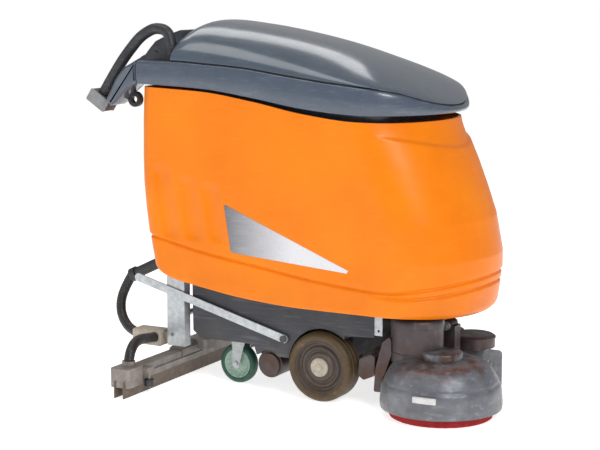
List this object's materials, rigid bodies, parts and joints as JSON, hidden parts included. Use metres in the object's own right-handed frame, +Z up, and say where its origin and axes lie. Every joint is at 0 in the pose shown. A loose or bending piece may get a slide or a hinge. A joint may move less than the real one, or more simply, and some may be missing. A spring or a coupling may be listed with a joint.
{
  "type": "wet dry floor scrubber",
  "caption": "Walk-behind floor scrubber with a tall moulded tank, domed lid, handle bows, driven wheels, casters, disc deck and rear squeegee.",
  "frame": {"origin": "floor level under the middle of the length and width", "axes": "+X forward towards the scrub deck, +Y the machine's left, +Z up"},
  "size_m": [1.366, 0.95, 1.128],
  "materials": {
    "tank_plastic": "satin rotomoulded orange",
    "lid_plastic": "glossy blue-grey moulding",
    "grey_plastic": "grained dark grey moulding",
    "black_plastic": "black moulding",
    "red_plastic": "red button",
    "green_plastic": "green button",
    "display": "smoked lens",
    "silver_plate": "printed silver plate, plain",
    "tread": "amber-brown polyurethane tread",
    "rim_plastic": "dark brown wheel centre",
    "cap_plastic": "pale hub cap",
    "caster_green": "dark green rubber",
    "caster_centre": "pale green wheel centre",
    "zinc": "bright zinc plate",
    "steel": "plain steel",
    "deck_metal": "scuffed cast deck with dirt",
    "motor_metal": "worn dark paint",
    "red_pad": "red nylon floor pad",
    "squeegee_metal": "dirty cast aluminium",
    "blade_rubber": "worn tan-grey rubber",
    "hose_rubber": "black ribbed hose",
    "seal_rubber": "black foam seal",
    "battery_case": "battery cases"
  },
  "bodies": {
    "machine": {"solution_tank": "tank_plastic", "recovery_tank": "lid_plastic", "hinge_pins": "steel", "console": "grey_plastic", "display_lens": "display", "handle_frame": "grey_plastic", "handle_end_blocks": "grey_plastic", "handle_bow_right": "grey_plastic", "handle_bow_left": "grey_plastic", "side_plates": "silver_plate", "chassis_tub": "grey_plastic", "battery_pack": "battery_case", "suction_motor": "black_plastic", "transaxle": "motor_metal", "caster_plates": "zinc", "deck_hanger": "zinc", "hose_cuff": "black_plastic", "upper_hose": "hose_rubber"},
    "lid": {"lid": "lid_plastic", "lid_seal": "seal_rubber"},
    "filler_cap": {"filler_cap": "black_plastic"},
    "start_button": {"start_button": "green_plastic"},
    "stop_button": {"stop_button": "red_plastic"},
    "key_switch": {"key_switch": "steel"},
    "deck_arm": {"lift_arm": "motor_metal"},
    "deck": {"deck_frame": "motor_metal", "deck_dome_right": "deck_metal", "deck_dome_left": "deck_metal", "brush_motor_right": "motor_metal", "brush_motor_left": "motor_metal", "front_bracket": "zinc"},
    "dome_latch": {"dome_latch": "cap_plastic"},
    "squeegee_arm": {"lift_frame": "zinc", "squeegee_brackets": "zinc", "hose_coupler": "cap_plastic", "lower_hose": "hose_rubber"},
    "squeegee": {"squeegee_beam": "squeegee_metal", "squeegee_blades": "blade_rubber", "blade_strips": "steel", "wing_knobs": "black_plastic"},
    "trigger_right": {"trigger_right": "black_plastic"},
    "drive_wheel_right": {"drive_tyre_right": "tread", "drive_rim_right": "rim_plastic", "hub_cap_right": "cap_plastic"},
    "caster_right": {"caster_fork_right": "zinc"},
    "caster_wheel_right": {"caster_tyre_right": "caster_green", "caster_core_right": "caster_centre"},
    "disc_right": {"drive_plate_right": "black_plastic", "pad_right": "red_pad"},
    "end_roller_right": {"end_roller_right": "blade_rubber"},
    "trigger_left": {"trigger_left": "black_plastic"},
    "drive_wheel_left": {"drive_tyre_left": "tread", "drive_rim_left": "rim_plastic", "hub_cap_left": "cap_plastic"},
    "caster_left": {"caster_fork_left": "zinc"},
    "caster_wheel_left": {"caster_tyre_left": "caster_green", "caster_core_left": "caster_centre"},
    "disc_left": {"drive_plate_left": "black_plastic", "pad_left": "red_pad"},
    "end_roller_left": {"end_roller_left": "blade_rubber"}
  },
  "joints": [
    {"name": "lid_open", "type": "hinge", "parent": "machine", "child": "lid", "pos_m": [-0.341, 0, 1.096], "axis": [0, -1, 0], "range_deg": [0, 75]},
    {"name": "filler_turn", "type": "hinge", "parent": "machine", "child": "filler_cap", "pos_m": [-0.47118, 0.15, 0.82], "axis": [-1, 0, 0], "range_deg": [0, 90]},
    {"name": "start_press", "type": "slide", "parent": "machine", "child": "start_button", "axis": [0.4597, 0, -0.8881], "range_m": [0, 0.004], "stiffness_N_per_m": 600, "springref_m": -0.002},
    {"name": "stop_press", "type": "slide", "parent": "machine", "child": "stop_button", "axis": [0.4597, 0, -0.8881], "range_m": [0, 0.004], "stiffness_N_per_m": 900, "springref_m": -0.002},
    {"name": "key_turn", "type": "hinge", "parent": "machine", "child": "key_switch", "pos_m": [-0.5425, -0.125, 1], "axis": [-0.4597, 0, 0.8881], "range_deg": [0, 90]},
    {"name": "deck_lift", "type": "hinge", "parent": "machine", "child": "deck_arm", "pos_m": [0.323, -0.03, 0.252], "axis": [0, -1, 0], "range_deg": [0, 8]},
    {"name": "deck_level", "type": "hinge", "parent": "deck_arm", "child": "deck", "pos_m": [0.465, -0.03, 0.236], "axis": [0, 1, 0], "range_deg": [0, 8]},
    {"name": "latch_turn", "type": "hinge", "parent": "deck", "child": "dome_latch", "pos_m": [0.51021, -0.35989, 0.088], "axis": [0.0349, -0.9994, 0], "range_deg": [-60, 0]},
    {"name": "squeegee_lift", "type": "hinge", "parent": "machine", "child": "squeegee_arm", "pos_m": [0.001, 0, 0.178], "axis": [0, 1, 0], "range_deg": [0, 6], "deforming": ["upper_hose"]},
    {"name": "squeegee_swing", "type": "hinge", "parent": "squeegee_arm", "child": "squeegee", "pos_m": [-0.398, 0, 0.114], "axis": [0, 0, 1], "range_deg": [-12, 12], "deforming": ["lower_hose"]},
    {"name": "trigger_pull_right", "type": "hinge", "parent": "machine", "child": "trigger_right", "pos_m": [-0.395, -0.222, 1.03], "axis": [0, 1, 0], "range_deg": [0, 12], "stiffness_Nm_per_rad": 0.5, "springref_deg": -5.73},
    {"name": "wheel_spin_right", "type": "hinge", "parent": "machine", "child": "drive_wheel_right", "pos_m": [0.127, -0.231, 0.106], "axis": [0, 1, 0], "continuous": true},
    {"name": "caster_swivel_right", "type": "hinge", "parent": "machine", "child": "caster_right", "pos_m": [-0.188, -0.125, 0.148], "axis": [0, 0, 1], "continuous": true},
    {"name": "caster_roll_right", "type": "hinge", "parent": "caster_right", "child": "caster_wheel_right", "pos_m": [-0.206, -0.125, 0.0625], "axis": [0, 1, 0], "continuous": true},
    {"name": "disc_spin_right", "type": "hinge", "parent": "deck", "child": "disc_right", "pos_m": [0.504, -0.182, 0.168], "axis": [0, 0, 1], "continuous": true},
    {"name": "roller_spin_right", "type": "hinge", "parent": "squeegee", "child": "end_roller_right", "pos_m": [-0.383, -0.372, 0.033], "axis": [0, 0, 1], "continuous": true},
    {"name": "trigger_pull_left", "type": "hinge", "parent": "machine", "child": "trigger_left", "pos_m": [-0.395, 0.222, 1.03], "axis": [0, 1, 0], "range_deg": [0, 12], "stiffness_Nm_per_rad": 0.5, "springref_deg": -5.73},
    {"name": "wheel_spin_left", "type": "hinge", "parent": "machine", "child": "drive_wheel_left", "pos_m": [0.127, 0.231, 0.106], "axis": [0, 1, 0], "continuous": true},
    {"name": "caster_swivel_left", "type": "hinge", "parent": "machine", "child": "caster_left", "pos_m": [-0.188, 0.125, 0.148], "axis": [0, 0, 1], "continuous": true},
    {"name": "caster_roll_left", "type": "hinge", "parent": "caster_left", "child": "caster_wheel_left", "pos_m": [-0.206, 0.125, 0.0625], "axis": [0, 1, 0], "continuous": true},
    {"name": "disc_spin_left", "type": "hinge", "parent": "deck", "child": "disc_left", "pos_m": [0.392, 0.105, 0.168], "axis": [0, 0, 1], "continuous": true},
    {"name": "roller_spin_left", "type": "hinge", "parent": "squeegee", "child": "end_roller_left", "pos_m": [-0.383, 0.372, 0.033], "axis": [0, 0, 1], "continuous": true}
  ],
  "couplings": [
    {"joint": "deck_level", "follows": "deck_lift", "ratio": 1},
    {"joint": "disc_spin_left", "follows": "disc_spin_right", "ratio": -1}
  ]
}
